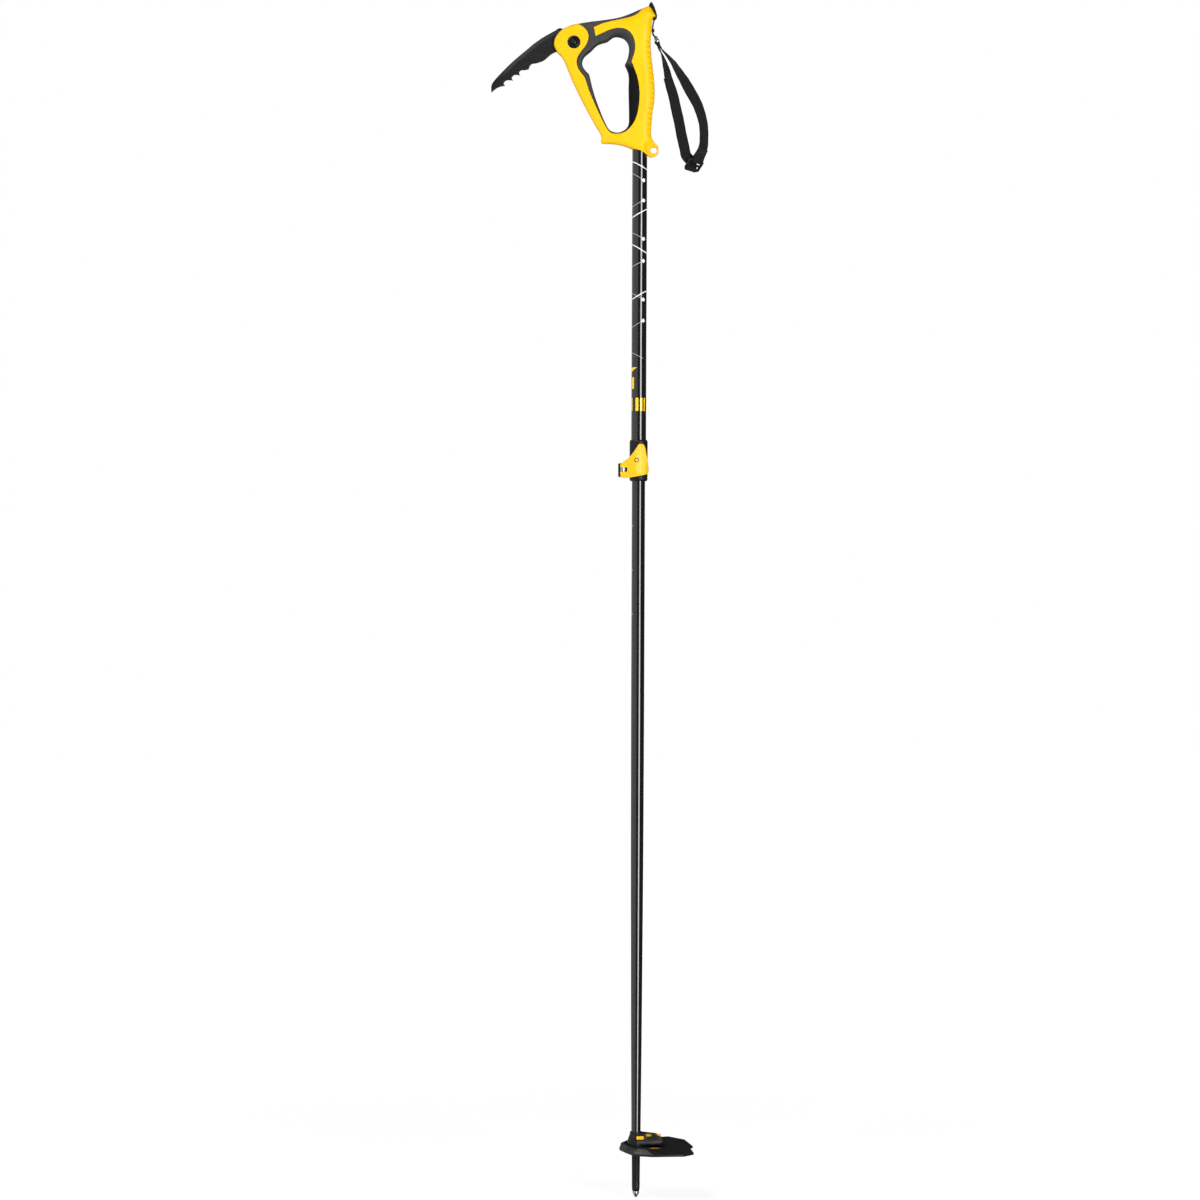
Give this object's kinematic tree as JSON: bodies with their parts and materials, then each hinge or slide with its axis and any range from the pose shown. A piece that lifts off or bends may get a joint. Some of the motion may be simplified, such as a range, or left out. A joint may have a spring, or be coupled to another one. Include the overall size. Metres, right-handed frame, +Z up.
{
  "type": "folding-pick touring pole",
  "caption": "Adjustable two-section touring pole with a D-shaped handle, a folding toothed ice pick, a wrist strap, a lever clamp and an asymmetric snow basket.",
  "frame": {"origin": "end of the steel tip, on the shaft's axis", "axes": "+Z up the shaft towards the handle, +X from the shaft towards the wrist strap, the pick points towards -X"},
  "size_m": [0.2653, 0.072, 1.455],
  "materials": {
    "yellow_plastic": "satin moulded plastic",
    "black_rubber": "matte soft overmould",
    "black_plastic": "fine moulded texture",
    "black_steel": "black coated steel",
    "bright_steel": "bright steel",
    "black_tube": "gloss black lacquer with white line graphics",
    "cord": "braided cord",
    "webbing": "flat woven webbing"
  },
  "bodies": {
    "root": {"grip_frame": "yellow_plastic", "grip_overmould": "black_rubber", "pick_washer_front": "bright_steel", "pick_washer_back": "bright_steel", "pivot_barrel": "bright_steel", "axle_screw": "bright_steel", "button_ring": "black_plastic", "button_spring": "bright_steel", "rear_clip": "black_plastic", "clip_screw": "bright_steel", "anchor_cord": "cord", "cord_keeper": "black_plastic", "upper_tube": "black_tube", "top_plug": "black_plastic", "clamp_collar": "black_plastic", "thrust_pad": "black_plastic", "lever_pin": "bright_steel", "clamp_bolt": "bright_steel"},
    "pick": {"pick": "black_steel"},
    "button": {"lock_button": "black_plastic"},
    "strap": {"strap_link": "bright_steel", "strap_webbing": "webbing", "strap_tail": "webbing", "strap_buckle": "black_plastic"},
    "lever": {"clamp_lever": "yellow_plastic"},
    "nut": {"tension_nut": "bright_steel"},
    "lower_section": {"lower_tube": "black_tube", "inner_guide": "black_plastic", "tip_ferrule": "black_plastic", "steel_tip": "bright_steel"},
    "basket": {"basket_disc": "black_plastic", "basket_hub": "black_plastic", "basket_insert_top": "yellow_plastic", "basket_insert_front": "yellow_plastic"}
  },
  "joints": [
    {"name": "pick_fold", "type": "hinge", "parent": "root", "child": "pick", "pos_m": [-0.0806, 0, 1.405], "axis": [0, -1, 0], "range_deg": [0, 76]},
    {"name": "button_press", "type": "slide", "parent": "root", "child": "button", "axis": [0, 1, 0], "range_m": [0, 0.002], "stiffness_N_per_m": 300, "springref_m": -0.0015, "deforming": ["button_spring"]},
    {"name": "strap_swing", "type": "hinge", "parent": "root", "child": "strap", "pos_m": [0.0194, 0, 1.4115], "axis": [0, -1, 0], "range_deg": [-6, 100]},
    {"name": "lever_swing", "type": "hinge", "parent": "root", "child": "lever", "pos_m": [-0.0188, -0.01, 0.8855], "axis": [0, 0, -1], "range_deg": [0, 120]},
    {"name": "nut_turn", "type": "hinge", "parent": "root", "child": "nut", "pos_m": [-0.0188, 0.0065, 0.8855], "axis": [0, 1, 0], "continuous": true},
    {"name": "shaft_slide", "type": "slide", "parent": "root", "child": "lower_section", "axis": [0, 0, 1], "range_m": [0, 0.35]},
    {"name": "basket_turn", "type": "hinge", "parent": "lower_section", "child": "basket", "pos_m": [0, 0, 0.065], "axis": [0, 0, 1], "continuous": true}
  ]
}
